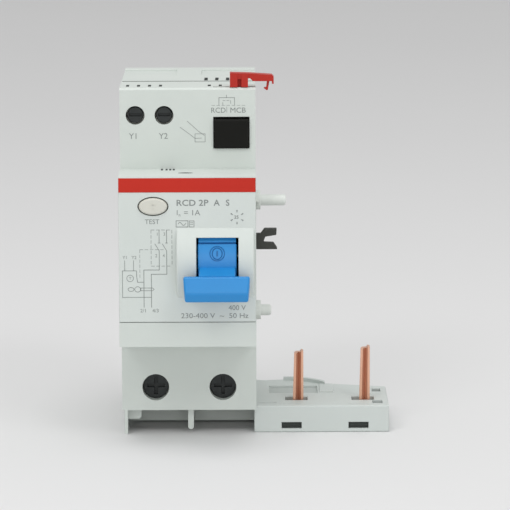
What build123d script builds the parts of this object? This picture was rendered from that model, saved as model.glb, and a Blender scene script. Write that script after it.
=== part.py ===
from build123d import *
import math
import os

# Residual current block, two modules wide, that clips on a 35 mm rail beside a two-pole breaker.
# X runs across the modules, Y runs from the operator's side back to the wall, and Z runs up.
# The origin is the middle of the rail seat. All sizes are in millimetres.

# Outline of the case
MODULE = 17.5
HALF_WIDTH = MODULE
WALL = 1.5
INNER = HALF_WIDTH - WALL
NOSE_Y = -60.0
PLATE_BACK_Y = -58.4
SHOULDER_Y = -44.0
SHOULDER_IN_Y = SHOULDER_Y + WALL
SPLIT_Y = -29.5
BACK_Y = 2.5
HOOK_Y = 5.5
NOSE_TOP = 21.8
NOSE_BOTTOM = -21.7
NOSE_ROOT = 22.5
PLATE_BOTTOM = -15.4
TOP_Z = 42.9
CEILING_Z = TOP_Z - WALL
SHOULDER_BOTTOM = -41.7
REAR_BOTTOM = -47.6
BASE_Z = -48.1
FLOOR_Z = -23.2

# Fits
GAP = 0.3
RUN = 0.05

# Rail: 35 mm wide, 1 mm thick
RAIL_HALF = 17.5
SEAT_HALF = 14.9
SLOT_FLOOR_Y = -0.3
LIP_Y = 1.4
LIP_Z = 15.6

# Toggle
PIVOT_Y = -49.0
TOGGLE_X = (2.7, 12.5)
WINDOW_X = (2.3, 13.0)
WINDOW_HALF = 6.7
BULGE_X = (-2.8, 17.05)
BULGE_R = 14.2
DRUM_R = 13.0
DRUM_IN_R = 11.2
HUB_R = 3.4
PIN_R = 1.25
DRUM_TOP_DEG = 24.0
DRUM_END_DEG = -54.0
PADDLE_X = (-1.0, 15.9)
LINK_ENDS = [(-56.8, -1.7), (-40.0, -8.0)]

# Test button
TEST_X = -8.64
TEST_Z = 14.6

# Lock key
KEY_X = (6.85, 15.75)
KEY_Z = (27.4, 34.85)
KEY_FRONT_Y = -44.9

# Main terminals
POLE_X = MODULE / 2
SCREW_Z = -35.6
SCREW_HOLE_R = 3.5
HEAD_Y = (-41.3, -39.9)
PLATE_Y = (-36.5, -35.3)
CAGE_Y = (-37.9, -28.8)
CAGE_SHEET = 1.2

# Remote-trip terminals
REMOTE_X = (-13.47, -6.04)
REMOTE_Z = 35.8
REMOTE_HOLE_R = 2.43

# Trip fork
FORK_SHAFT_Y = -33.0
FORK_SHAFT_Z = 3.0
FORK_Y = (-41.1, -38.9)
LATCH_Y = -34.0
LATCH_Z = -2.0
SHELF_Z = (-5.6, -4.7)

# Coupling pins and slider
COUPLING_PIN_Y = -34.0
PIN_UPPER_Z = 12.2
PIN_LOWER_Z = -16.95
COLLAR_END_X = 18.75
GUIDE_Y = (-42.6, -41.0)

# Foot under the breaker
FOOT_RIGHT = 52.2
FOOT_FRONT_Y = -42.0
FOOT_TOP = -41.05
FOOT_WALL = 1.4
STUB_X = (28.5, 46.0)
STUB_Y = -32.0
STUB_TOP = (-28.1, -27.0)
LEAD_Z = (-45.4, -43.0)

# Case screws: place across the case, start of the thread and seat of the head
SCREW_POSTS = [
    (-13.2, 39.4, -32.8, 0.5), (13.2, 39.4, -37.0, 0.5), (-13.0, -23.6, -34.6, 3.5),
    (13.0, -23.6, -34.6, 3.5),
]

# Toroid
RING_Y = -14.5
RING_Z = (-19.9, -8.1)
RING_R = (7.4, 11.9)
RISE_LEFT = (-3.0, -17.2)
RISE_RIGHT = (3.2, -11.5)

# Circuit board
BOARD_Y = (-6.5, -4.9)

# Rail clip
CLIP_HALF = 5.0
CLIP_Y = (1.2, 3.0)
CLIP_TIP_Z = -15.4


def block(x, y, z):
    """Box from three (low, high) pairs."""
    size = [high - low for low, high in (x, y, z)]
    centre = [(low + high) / 2 for low, high in (x, y, z)]
    return Pos(*centre) * Box(*size)


def rod_x(x, y, z, radius):
    """Round bar along X between the pair x."""
    return Pos((x[0] + x[1]) / 2, y, z) * Rot(0, 90, 0) * Cylinder(radius, x[1] - x[0])


def rod_y(x, y, z, radius):
    """Round bar along Y between the pair y."""
    return Pos(x, (y[0] + y[1]) / 2, z) * Rot(90, 0, 0) * Cylinder(radius, y[1] - y[0])


def rod_z(x, y, z, radius):
    """Round bar along Z between the pair z."""
    return Pos(x, y, (z[0] + z[1]) / 2) * Cylinder(radius, z[1] - z[0])


def side_profile(points, x):
    """Solid with the given (Y, Z) outline between the pair x."""
    face = make_face(Polyline(*[(x[0], y, z) for y, z in points], close=True))
    return extrude(face, amount=x[1] - x[0], dir=(1, 0, 0))


def front_profile(points, y):
    """Solid with the given (X, Z) outline between the pair y."""
    face = make_face(Polyline(*[(px, y[0], pz) for px, pz in points], close=True))
    return extrude(face, amount=y[1] - y[0], dir=(0, 1, 0))


def plan_profile(points, z):
    """Solid with the given (X, Y) outline between the pair z."""
    face = make_face(Polyline(*[(px, py, z[0]) for px, py in points], close=True))
    return extrude(face, amount=z[1] - z[0], dir=(0, 0, 1))


def oval_y(x, z, half_x, half_z, y):
    """Elliptical bar along Y between the pair y."""
    face = Plane(origin=(x, y[0], z), x_dir=(1, 0, 0), z_dir=(0, 1, 0)) * Ellipse(half_x, half_z)
    return extrude(face, amount=y[1] - y[0], dir=(0, 1, 0))


def polar(radius, degrees):
    """(Y, Z) of a point round the toggle's pin, measured up from straight ahead."""
    angle = math.radians(degrees)
    return (PIVOT_Y - radius * math.cos(angle), radius * math.sin(angle))


def front_case():
    outline = [
        (SPLIT_Y, TOP_Z), (SHOULDER_Y + 0.5, TOP_Z), (SHOULDER_Y, TOP_Z - 0.5),
        (SHOULDER_Y, NOSE_TOP + 0.1), (PLATE_BACK_Y, NOSE_TOP + 0.1), (PLATE_BACK_Y, PLATE_BOTTOM),
        (NOSE_Y, PLATE_BOTTOM), (NOSE_Y, NOSE_BOTTOM), (SHOULDER_Y, -NOSE_ROOT),
        (SHOULDER_Y + 0.4, SHOULDER_BOTTOM), (SPLIT_Y, SHOULDER_BOTTOM),
    ]
    hollow = [
        (SPLIT_Y + 1, CEILING_Z), (SHOULDER_IN_Y, CEILING_Z), (SHOULDER_IN_Y, NOSE_TOP - 1),
        (NOSE_Y + 1, NOSE_TOP - WALL), (NOSE_Y + 1, PLATE_BOTTOM + WALL),
        (NOSE_Y + WALL, PLATE_BOTTOM + WALL), (NOSE_Y + WALL, NOSE_BOTTOM + WALL),
        (SHOULDER_IN_Y, NOSE_BOTTOM + 1), (SHOULDER_IN_Y + 0.4, BASE_Z), (SPLIT_Y + 1, BASE_Z),
    ]
    case = side_profile(outline, (-HALF_WIDTH, HALF_WIDTH))
    case -= side_profile(hollow, (-INNER, INNER))
    case += block((-INNER, INNER), (SHOULDER_IN_Y, SPLIT_Y), (FLOOR_Z, FLOOR_Z + 1.2))
    case += block((-16.9, -16.1), (-43.6, SPLIT_Y), (BASE_Z, SHOULDER_BOTTOM))
    tongue = [(-16.3, -41.5), (-12.6, -41.5), (-12.6, -43.9), (-13.2, -44.5), (-16.3, -44.5)]
    case += front_profile(tongue, (-41.2, -40.2))
    for x in (-POLE_X, POLE_X):
        case += rod_y(x, (SHOULDER_IN_Y - 0.5, HEAD_Y[1]), SCREW_Z, 4.7)
        case -= rod_y(x, (SHOULDER_Y - 1, HEAD_Y[1]), SCREW_Z, SCREW_HOLE_R)
        case -= block((x - 3.7, x + 3.7), (PLATE_Y[0] - GAP, PLATE_Y[1] + GAP), (FLOOR_Z - 1, FLOOR_Z + 2))
    case -= block((-0.4, 1.1), (SHOULDER_IN_Y + 0.5, SPLIT_Y), (FLOOR_Z - 1, FLOOR_Z + 0.6))
    for x in REMOTE_X:
        case -= rod_y(x, (SHOULDER_Y - 1, SHOULDER_IN_Y + 1), REMOTE_Z, REMOTE_HOLE_R)
    case += block((-INNER, -1.5), (SHOULDER_IN_Y, SPLIT_Y), (30.6, 31.6))
    case += block((-2.5, -1.5), (SHOULDER_IN_Y, SPLIT_Y), (30.6, CEILING_Z))
    case -= block((6.6, 15.95), (SHOULDER_Y - 1, SHOULDER_IN_Y + 1), (27.15, 35.4))
    case += block((4.9, INNER), (-33.0, -31.8), (24.5, 38.0))
    case -= rod_y(11.25, (-34, -31), 31.4, 1.8)
    case += block((-12.2, -5.1), (-51.5, -50.3), (11.0, NOSE_TOP - WALL + 0.5))
    case -= rod_y(TEST_X, (-52, -50), TEST_Z, 1.5)
    for x in ((0.6, 2.1), (13.3, 14.8)):
        case += block(x, (-53.5, -44.5), (-NOSE_ROOT + 1.5, 3.2))
    case += block((14.8, INNER), (-53.5, -50.0), (-2.0, 2.0))
    case -= rod_x((1.1, 15.4), PIVOT_Y, 0, PIN_R + RUN)
    case += block((-INNER, INNER), (-36.0, SPLIT_Y), SHELF_Z)
    case += block((6.0, 7.2), (-36.0, SPLIT_Y), (SHELF_Z[0], 6.0))
    case += block((-14.9, -13.7), (-36.0, SPLIT_Y), (SHELF_Z[0], 1.0))
    case += block((-4.3, -3.1), (-36.0, SPLIT_Y), (SHELF_Z[0], 1.0))
    case -= rod_x((6.0, 16.8), FORK_SHAFT_Y, FORK_SHAFT_Z, 1.0 + RUN)
    case -= rod_x((-14.9, -3.1), LATCH_Y, LATCH_Z, 1.0 + RUN)
    case -= block((INNER - 0.5, HALF_WIDTH + 1), (FORK_Y[0] - 0.9, FORK_Y[1] + 0.9), (-1.0, 10.0))
    for z in (PIN_UPPER_Z, PIN_LOWER_Z):
        case += rod_x((14.5, INNER), COUPLING_PIN_Y, z, 3.0)
        case -= rod_x((14.0, HALF_WIDTH + 1), COUPLING_PIN_Y, z, 1.5)
    case -= block((6.6, HALF_WIDTH + 1), GUIDE_Y, (CEILING_Z - 0.5, TOP_Z + 1))
    for index in range(4):
        x = -15.5 + index * 2.83
        case -= block((x - 0.4, x + 0.4), (-40.9, -36.9), (CEILING_Z - 1, TOP_Z + 1))
    for x in (5.6, 8.43):
        case -= block((x - 0.4, x + 0.4), (-40.4, -36.9), (CEILING_Z - 1, TOP_Z + 1))
    for x, z, start, seat in SCREW_POSTS:
        case += rod_y(x, (start, SPLIT_Y), z, 2.4)
        case -= rod_y(x, (start, SPLIT_Y + 1), z, 1.5)
    return case


def rear_case():
    outline = [
        (SPLIT_Y, TOP_Z), (BACK_Y, TOP_Z), (BACK_Y, 36.0), (HOOK_Y, 33.0), (HOOK_Y, LIP_Z),
        (LIP_Y, LIP_Z), (LIP_Y, RAIL_HALF + 0.4), (SLOT_FLOOR_Y, RAIL_HALF + 0.4),
        (SLOT_FLOOR_Y, SEAT_HALF), (0, SEAT_HALF), (0, -SEAT_HALF), (SLOT_FLOOR_Y, -SEAT_HALF),
        (SLOT_FLOOR_Y, -19.0), (HOOK_Y, -19.0), (HOOK_Y, -36.0), (BACK_Y, -39.0),
        (BACK_Y, REAR_BOTTOM), (SPLIT_Y, REAR_BOTTOM),
    ]
    case = side_profile(outline, (-HALF_WIDTH, HALF_WIDTH))
    case -= block((-INNER, INNER), (SPLIT_Y - 1, -WALL), (-26.0, CEILING_Z))
    case -= block((-INNER, INNER), (-27.2, -WALL), (REAR_BOTTOM + 1.4, -25.0))
    case -= block((-INNER, INNER), (SPLIT_Y - 1, -28.4), (SHOULDER_BOTTOM, -25.0))
    case -= block((INNER - 1, HALF_WIDTH + 1), (-27.8, -18.2), (-46.0, -42.6))
    case -= block((-5.3, 5.3), (0.9, 3.3), (REAR_BOTTOM - 1, -18.0))
    case += block((-1.7, 1.7), (0.9, 3.3), (-37.0, -35.5))
    case -= block((-HALF_WIDTH - 1, -3.4), (-13.8, -1.5), (TOP_Z - 0.5, TOP_Z + 1))
    case -= block((3.2, HALF_WIDTH + 1), (-13.8, -1.5), (TOP_Z - 0.5, TOP_Z + 1))
    for index in range(3):
        x = 4.6 + index * 2.83
        case -= block((x - 0.4, x + 0.4), (-27.7, -21.3), (CEILING_Z - 1, TOP_Z + 1))
    for x, z, start, seat in SCREW_POSTS:
        case += rod_y(x, (SPLIT_Y, -WALL), z, 2.4)
        case -= rod_y(x, (SPLIT_Y - 1, HOOK_Y + 1), z, 1.5)
        case -= rod_y(x, (seat, HOOK_Y + 1), z, 2.7)
    return case


def front_plate():
    plate = block((-17.4, 17.4), (NOSE_Y, PLATE_BACK_Y), (PLATE_BOTTOM + 0.15, NOSE_TOP))
    swell = rod_x(BULGE_X, PIVOT_Y, 0, BULGE_R)
    plate += swell & block(BULGE_X, (-66, PLATE_BACK_Y), (-12, 12))
    plate -= rod_x(WINDOW_X, PIVOT_Y, 0, DRUM_R + GAP)
    plate -= block(WINDOW_X, (-66, -55), (-WINDOW_HALF, WINDOW_HALF))
    plate -= oval_y(TEST_X, TEST_Z, 3.95, 2.45, (NOSE_Y - 1, PLATE_BACK_Y + 1))
    plate -= block((-18, 18), (NOSE_Y - 1, NOSE_Y + 0.4), (18.2, NOSE_TOP + 1))
    return plate


def stripe():
    return block((-17.4, 17.4), (NOSE_Y - 0.05, NOSE_Y + 0.4), (18.2, NOSE_TOP))


def case_screws():
    screws = []
    for x, z, start, seat in SCREW_POSTS:
        screw = rod_y(x, (start + 0.2, seat), z, 1.45)
        screw += rod_y(x, (seat, seat + 1.6), z, 2.5)
        screw -= block((x - 1.8, x + 1.8), (seat + 0.9, seat + 2), (z - 0.35, z + 0.35))
        screw -= block((x - 0.35, x + 0.35), (seat + 0.9, seat + 2), (z - 1.8, z + 1.8))
        screws.append(screw)
    return Compound(children=screws)


def toggle():
    steps = range(int(DRUM_END_DEG), int(DRUM_TOP_DEG) + 1, 6)
    wedge = [(PIVOT_Y, 0)] + [polar(20, degrees) for degrees in steps]
    drum = rod_x(TOGGLE_X, PIVOT_Y, 0, DRUM_R) - rod_x(TOGGLE_X, PIVOT_Y, 0, DRUM_IN_R)
    drum = drum & side_profile(wedge, TOGGLE_X)
    body = drum + rod_x(TOGGLE_X, PIVOT_Y, 0, HUB_R)
    body += side_profile([polar(2, 60), polar(12, 8), polar(12, -30), polar(2, -90)], (6.2, 9.0))
    neck = [polar(12.0, -3.5), polar(DRUM_R, -3.5), (-68.0, -2.25), (-67.0, -6.6), polar(12.0, -26.5)]
    body += side_profile(neck, TOGGLE_X)
    paddle = [
        (-64.6, -1.6), (-68.0, -2.25), (-69.0, -6.4), (-67.9, -8.8), (-66.4, -8.9), (-64.0, -6.0),
    ]
    body += side_profile(paddle, PADDLE_X)
    body -= rod_x(TOGGLE_X, PIVOT_Y, 0, PIN_R + RUN)
    body -= rod_x((5.5, 9.1), *LINK_ENDS[0], 0.6)
    return body


def toggle_pin():
    return rod_x((1.2, 15.3), PIVOT_Y, 0, PIN_R)


def toggle_spring():
    coil = rod_x((-2.2, 0.3), PIVOT_Y, 0, 2.6)
    return coil - rod_x((-3, 1), PIVOT_Y, 0, 1.7)


def spring_post():
    return rod_x((-INNER, 0.6), PIVOT_Y, 0, 1.3)


def reset_link():
    (y1, z1), (y2, z2) = LINK_ENDS
    radius = 0.55
    link = rod_x((5.2, 10.15), y1, z1, radius) + rod_x((7.0, 10.15), y2, z2, radius)
    path = Polyline((9.6, y1, z1), (9.6, y2, z2))
    return link + sweep(Plane(path @ 0, z_dir=path % 0) * Circle(radius), path=path)


def trip_lever():
    lever = rod_x((7.5, 15.7), FORK_SHAFT_Y, FORK_SHAFT_Z, 2.2)
    lever += block((13.2, 15.4), (FORK_Y[0], FORK_SHAFT_Y), (1.2, 4.8))
    lever += block((8.0, 10.2), (-34.0, -32.0), (FORK_SHAFT_Z, 9.0))
    fork = [
        (14.0, 0.3), (23.05, 0.3), (22.9, 0.75), (22.05, 2.0), (19.65, 2.1), (19.5, 2.5),
        (19.95, 3.6), (22.8, 4.05), (22.9, 5.7), (19.7, 5.7), (18.75, 4.4), (14.0, 4.3),
    ]
    lever += front_profile(fork, FORK_Y)
    lever -= rod_x((7, 16.5), FORK_SHAFT_Y, FORK_SHAFT_Z, 1.0 + RUN)
    return lever


def trip_shaft():
    return rod_x((6.0, 16.7), FORK_SHAFT_Y, FORK_SHAFT_Z, 1.0)


def trip_spring():
    coil = rod_x((10.6, 12.8), FORK_SHAFT_Y, FORK_SHAFT_Z, 3.2)
    return coil - rod_x((10, 13), FORK_SHAFT_Y, FORK_SHAFT_Z, 2.4)


def latch_lever():
    lever = rod_x((-13.3, -4.7), LATCH_Y, LATCH_Z, 2.1)
    lever += side_profile([(-34.9, -2), (-33.1, -2), (-31.2, 9.0), (-32.4, 9.0)], (-10.5, -5.5))
    lever += side_profile([(-35.6, -3.0), (-34.0, -0.6), (-40.4, 2.0), (-40.9, 0.6)], (-12.8, -11.0))
    lever -= rod_x((-14, -4), LATCH_Y, LATCH_Z, 1.0 + RUN)
    return lever


def latch_pin():
    return rod_x((-14.9, -3.1), LATCH_Y, LATCH_Z, 1.0)


def relay_body():
    relay = block((-14.0, -2.0), (-24.0, BOARD_Y[0]), (0.5, 13.5))
    relay -= rod_y(-8.0, (-25, -14), 7.0, 1.4)
    return relay


def relay_plunger():
    plunger = rod_y(-8.0, (-29.6, -16.0), 7.0, 1.3)
    return plunger + rod_y(-8.0, (-30.8, -29.6), 7.0, 2.0)


def test_button():
    button = oval_y(TEST_X, TEST_Z, 3.6, 2.15, (NOSE_Y - 0.7, PLATE_BACK_Y + 0.4))
    button += oval_y(TEST_X, TEST_Z, 4.4, 2.9, (PLATE_BACK_Y + 0.4, PLATE_BACK_Y + 1.3))
    return button + rod_y(TEST_X, (PLATE_BACK_Y + 1.3, -50.8), TEST_Z, 1.1)


def test_spring():
    coil = rod_y(TEST_X, (PLATE_BACK_Y + 1.3, -51.5), TEST_Z, 2.2)
    return coil - rod_y(TEST_X, (-60, -50), TEST_Z, 1.6)


def test_contact():
    leaf = block((TEST_X - 1.5, TEST_X + 1.5), (-48.8, -48.5), (9.0, NOSE_TOP - WALL))
    leaf += block((TEST_X - 1.5, TEST_X + 1.5), (-48.5, -43.0), (9.0, 9.3))
    return leaf


def lock_key():
    key = block(KEY_X, (KEY_FRONT_Y, -42.0), KEY_Z)
    top_front = key.edges().filter_by(Axis.X).group_by(Axis.Y)[0].sort_by(Axis.Z)[-1]
    key = fillet(top_front, 0.7)
    key += block((5.4, 15.7), (-42.2, -40.9), (26.4, 36.6))
    return key + rod_y(11.25, (-40.9, -34.0), 31.4, 1.5)


def lock_spring():
    coil = rod_y(11.25, (-40.9, -33.0), 31.4, 2.8)
    return coil - rod_y(11.25, (-42, -32), 31.4, 2.1)


def coupling_slider():
    tongue_y = (GUIDE_Y[0] + GAP, GUIDE_Y[1] - GAP)
    bar = [
        (10.95, 44.9), (10.95, 46.65), (16.0, 46.5), (21.7, 46.1), (22.2, 45.6), (22.2, 44.5),
        (16.9, 44.5), (16.1, 45.25),
    ]
    slider = front_profile(bar, (-43.5, -40.4))
    slider += block((10.95, 12.9), (-43.8, -40.2), (TOP_Z + 0.1, 46.55))
    slider += block((13.9, 15.6), (-43.8, -40.2), (TOP_Z + 0.1, 46.45))
    slider += block((12.9, 13.9), (-42.6, -40.2), (TOP_Z + 0.1, 46.5))
    hook = [
        (20.5, 44.7), (20.25, 42.75), (19.85, 42.8), (19.63, 42.6), (20.3, 42.05), (20.7, 42.1),
        (21.15, 44.7),
    ]
    slider += front_profile(hook, tongue_y)
    slider += block((21.75, 22.2), (-43.5, -40.4), (43.8, 44.7))
    slider += block((11.2, 15.2), tongue_y, (CEILING_Z - 0.4, TOP_Z + 0.3))
    return slider + block((11.2, 15.2), (-42.3, -39.6), (CEILING_Z - 1.5, CEILING_Z - 0.3))


def coupling_pin(z, end):
    pin = rod_x((14.6, COLLAR_END_X), COUPLING_PIN_Y, z, 1.45)
    pin += rod_x((HALF_WIDTH, COLLAR_END_X), COUPLING_PIN_Y, z, 2.5)
    shank = rod_x((COLLAR_END_X, end), COUPLING_PIN_Y, z, 1.45)
    tip = shank.edges().filter_by(GeomType.CIRCLE).sort_by(Axis.X)[-1]
    return pin + fillet(tip, 0.7)


def terminal_screw(x):
    screw = rod_y(x, HEAD_Y, SCREW_Z, 3.3)
    screw += rod_y(x, (HEAD_Y[1], PLATE_Y[0] - 0.1), SCREW_Z, 2.35)
    for half_x, half_z in ((2.3, 0.45), (0.45, 2.3)):
        slot = block((x - half_x, x + half_x), (-43, HEAD_Y[0] + 1.0), (SCREW_Z - half_z, SCREW_Z + half_z))
        screw -= slot
    return screw


def lift_cage(x):
    cage = block((x - 4.9, x + 4.9), CAGE_Y, (SCREW_Z - 5.0, SCREW_Z + 5.0))
    inside = (CAGE_Y[0] + CAGE_SHEET, CAGE_Y[1] - CAGE_SHEET)
    cage -= block((x - 3.7, x + 3.7), inside, (SCREW_Z - 6, SCREW_Z + 6))
    return cage - rod_y(x, (CAGE_Y[0] - 1, CAGE_Y[0] + 2), SCREW_Z, 2.4 + RUN)


def terminal_plate(x, rise):
    leg_z = (-7.4, -6.2)
    low, high = x - 3.4, x + 3.4
    reach = (min(low, rise[0] - 1.6), high) if x > 0 else (low, max(high, rise[0] + 1.6))
    plate = block((low, high), PLATE_Y, (-40.0, leg_z[1]))
    plate += block((low, high), (PLATE_Y[0], -25.0), leg_z)
    return plate + block(reach, (-26.5, rise[1] + 1.8), leg_z)


def lead(stub_x, turn_y, route):
    """Square copper lead that follows straight runs at one height, then rises through the ring."""
    half = 1.5
    bar = block((stub_x - half, stub_x + half), (STUB_Y + 2.0, turn_y + half), LEAD_Z)
    start = (stub_x, turn_y)
    for end in route:
        xs = sorted((start[0], end[0]))
        ys = sorted((start[1], end[1]))
        bar += block((xs[0] - half, xs[1] + half), (ys[0] - half, ys[1] + half), LEAD_Z)
        start = end
    return bar + block(
        (start[0] - half, start[0] + half), (start[1] - half, start[1] + half), (LEAD_Z[0], -7.4)
    )


def copper_stub(x, top):
    outline = [
        (-1.4, -1.6), (-0.75, -1.6), (0, -0.3), (0.75, -1.6), (1.4, -1.6), (1.4, 0.3), (0.8, 1.4),
        (-0.8, 1.4), (-1.4, 0.3),
    ]
    placed = [(x + px, STUB_Y + py) for px, py in outline]
    stub = plan_profile(placed, (LEAD_Z[1], top))
    notch = [(x - 1.5, top + 0.1), (x + 0.85, top + 0.1), (x + 0.4, top - 0.5), (x - 1.5, top - 0.6)]
    stub -= front_profile(notch, (STUB_Y - 3, STUB_Y + 3))
    return stub + block((x - 2.0, x + 2.0), (STUB_Y - 2.0, STUB_Y + 2.0), LEAD_Z)


def ring_core():
    inner, outer = RING_R[0] + 0.8, RING_R[1] - 0.8
    core = rod_z(0, RING_Y, (RING_Z[0] + 0.8, RING_Z[1] - 0.8), outer)
    return core - rod_z(0, RING_Y, RING_Z, inner)


def ring_winding():
    turn = block(RING_R, (-0.6, 0.6), RING_Z)
    turn -= block((RING_R[0] + 0.7, RING_R[1] - 0.7), (-1, 1), (RING_Z[0] + 0.7, RING_Z[1] - 0.7))
    turns = [Pos(0, RING_Y, 0) * Rot(0, 0, index * 15) * turn for index in range(24)]
    return Compound(children=turns)


def circuit_board():
    board = block((-15.2, 15.2), BOARD_Y, (-2.0, 34.0))
    for x in (-12.0, 12.0):
        board -= rod_y(x, (BOARD_Y[0] - 1, BOARD_Y[1] + 1), 31.0, 1.2)
    return board


def board_posts():
    posts = [rod_y(x, (BOARD_Y[0] - 1.2, -WALL), 31.0, 1.15) for x in (-12.0, 12.0)]
    collars = [rod_y(x, (BOARD_Y[1], -WALL), 31.0, 2.2) for x in (-12.0, 12.0)]
    return Compound(children=[post + collar for post, collar in zip(posts, collars)])


def capacitor():
    return rod_y(8.0, (-18.5, BOARD_Y[0]), 24.0, 4.0)


def test_resistor():
    return rod_z(8.0, BOARD_Y[0] - 1.8, (6.0, 15.0), 1.6)


def varistor():
    return rod_y(-6.0, (BOARD_Y[0] - 4.0, BOARD_Y[0]), 22.0, 4.5)


def remote_screw(x):
    screw = rod_y(x, (-42.9, -41.3), REMOTE_Z, 2.1) + rod_y(x, (-41.3, -36.1), REMOTE_Z, 1.4)
    return screw - block((x - 1.5, x + 1.5), (-43.1, -42.1), (REMOTE_Z - 0.3, REMOTE_Z + 0.3))


def remote_clamp(x):
    clamp = block((x - 2.4, x + 2.4), (-39.8, -33.6), (REMOTE_Z - 2.8, REMOTE_Z + 2.8))
    clamp -= block((x - 1.8, x + 1.8), (-38.9, -34.5), (REMOTE_Z - 4, REMOTE_Z + 4))
    return clamp - rod_y(x, (-41, -38), REMOTE_Z, 1.5)


def remote_contacts():
    strips = []
    for x in REMOTE_X:
        strip = block((x - 1.5, x + 1.5), (-35.95, -35.65), (REMOTE_Z - 3.6, REMOTE_Z + 2.4))
        strips.append(strip + block((x - 0.8, x + 0.8), (-35.95, -30.0), (REMOTE_Z - 3.9, REMOTE_Z - 3.6)))
    return Compound(children=strips)


def phase_barrier():
    sheet = block((-0.4, 1.1), (-42.0, SPLIT_Y - 0.1), (-46.4, FLOOR_Z + 0.6))
    return sheet + rod_y(0.35, (-42.0, SPLIT_Y - 0.1), -46.4, 0.75)


def foot_outline(inset):
    """(X, Y) corners of the foot, set in by the given distance on its free sides."""
    left = HALF_WIDTH + inset
    right = FOOT_RIGHT - inset
    front = FOOT_FRONT_Y + inset
    return [(left, front), (right, front), (right, -17.5 - inset), (left, -8.2 - inset * 1.2)]


def foot_cover():
    cover = plan_profile(foot_outline(0), (BASE_Z, FOOT_TOP))
    swell = rod_z(24.9, -21.5, (BASE_Z, FOOT_TOP), 13.5)
    cover += swell & block((19.0, 36.0), (-16.0, -7.0), (BASE_Z, FOOT_TOP))
    rim = rod_z(24.9, -21.5, (FOOT_TOP - 0.5, FOOT_TOP + 0.9), 13.5)
    rim -= rod_z(24.9, -21.5, (FOOT_TOP - 1, FOOT_TOP + 2), 12.3)
    cover += rim & block((24.9, 35.9), (-16.0, -7.0), (FOOT_TOP - 1, FOOT_TOP + 1))
    cover -= plan_profile(foot_outline(FOOT_WALL), (BASE_Z - 1, FOOT_TOP - FOOT_WALL))
    cover -= block((HALF_WIDTH - 1, HALF_WIDTH + 2), (-27.8, -18.2), (-46.0, -42.6))
    for x in STUB_X:
        cover -= block((x - 3.4, x + 2.5), (-34.6, -30.2), (FOOT_TOP - 2, FOOT_TOP + 1))
        window = (x - 4.45, x + 0.8)
        cover -= block(window, (FOOT_FRONT_Y - 1, FOOT_FRONT_Y + 2), (-47.1, -45.5))
        cover -= block(window, (-39.4, -39.1), (FOOT_TOP - 0.4, FOOT_TOP + 1))
    cover -= block((20.9, 33.8), (-25.5, -15.9), (FOOT_TOP - 0.6, FOOT_TOP + 1))
    cover -= block((48.0, 50.6), (-38.8, -34.9), (FOOT_TOP - 1.2, FOOT_TOP + 1))
    cover -= block((48.3, 50.6), (-24.0, -20.0), (FOOT_TOP - 1.2, FOOT_TOP + 1))
    cover -= block((18.2, 22.8), (-38.4, -37.8), (FOOT_TOP - 0.8, FOOT_TOP + 1))
    cover += block((16.9, HALF_WIDTH + 0.5), (FOOT_FRONT_Y, -34.0), (BASE_Z, SHOULDER_BOTTOM - 0.2))
    return cover + block((34.4, 38.0), (-25.0, -15.0), (FOOT_TOP - 0.2, FOOT_TOP + 0.35))


def foot_base():
    base = plan_profile(foot_outline(FOOT_WALL), (BASE_Z, BASE_Z + 1.2))
    for x in STUB_X:
        window = (x - 4.35, x + 0.7)
        base += block(window, (FOOT_FRONT_Y + FOOT_WALL, -39.6), (BASE_Z + 1.2, -43.6))
        base += block(window, (FOOT_FRONT_Y + 0.5, -40.2), (-46.9, -45.6))
    return base


def rail_clip():
    clip = block((-CLIP_HALF, CLIP_HALF), CLIP_Y, (-46.9, CLIP_TIP_Z - 1.0))
    nose = [(CLIP_Y[0] + 0.3, CLIP_TIP_Z), (CLIP_Y[1] - 0.8, CLIP_TIP_Z), (CLIP_Y[1], CLIP_TIP_Z - 1.2)]
    nose += [(CLIP_Y[1], -17.0), (CLIP_Y[0], -17.0), (CLIP_Y[0], CLIP_TIP_Z - 0.3)]
    clip += side_profile(nose, (-CLIP_HALF, CLIP_HALF))
    clip -= block((-2.0, 2.0), (0, 4), (-40.5, -26.0))
    return clip - block((-2.5, 2.5), (0, 4), (-45.6, -43.4))


def clip_spring():
    coil = rod_z(0, 2.1, (-35.5, -26.0), 0.9)
    return coil - rod_z(0, 2.1, (-36, -25), 0.5)


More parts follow.
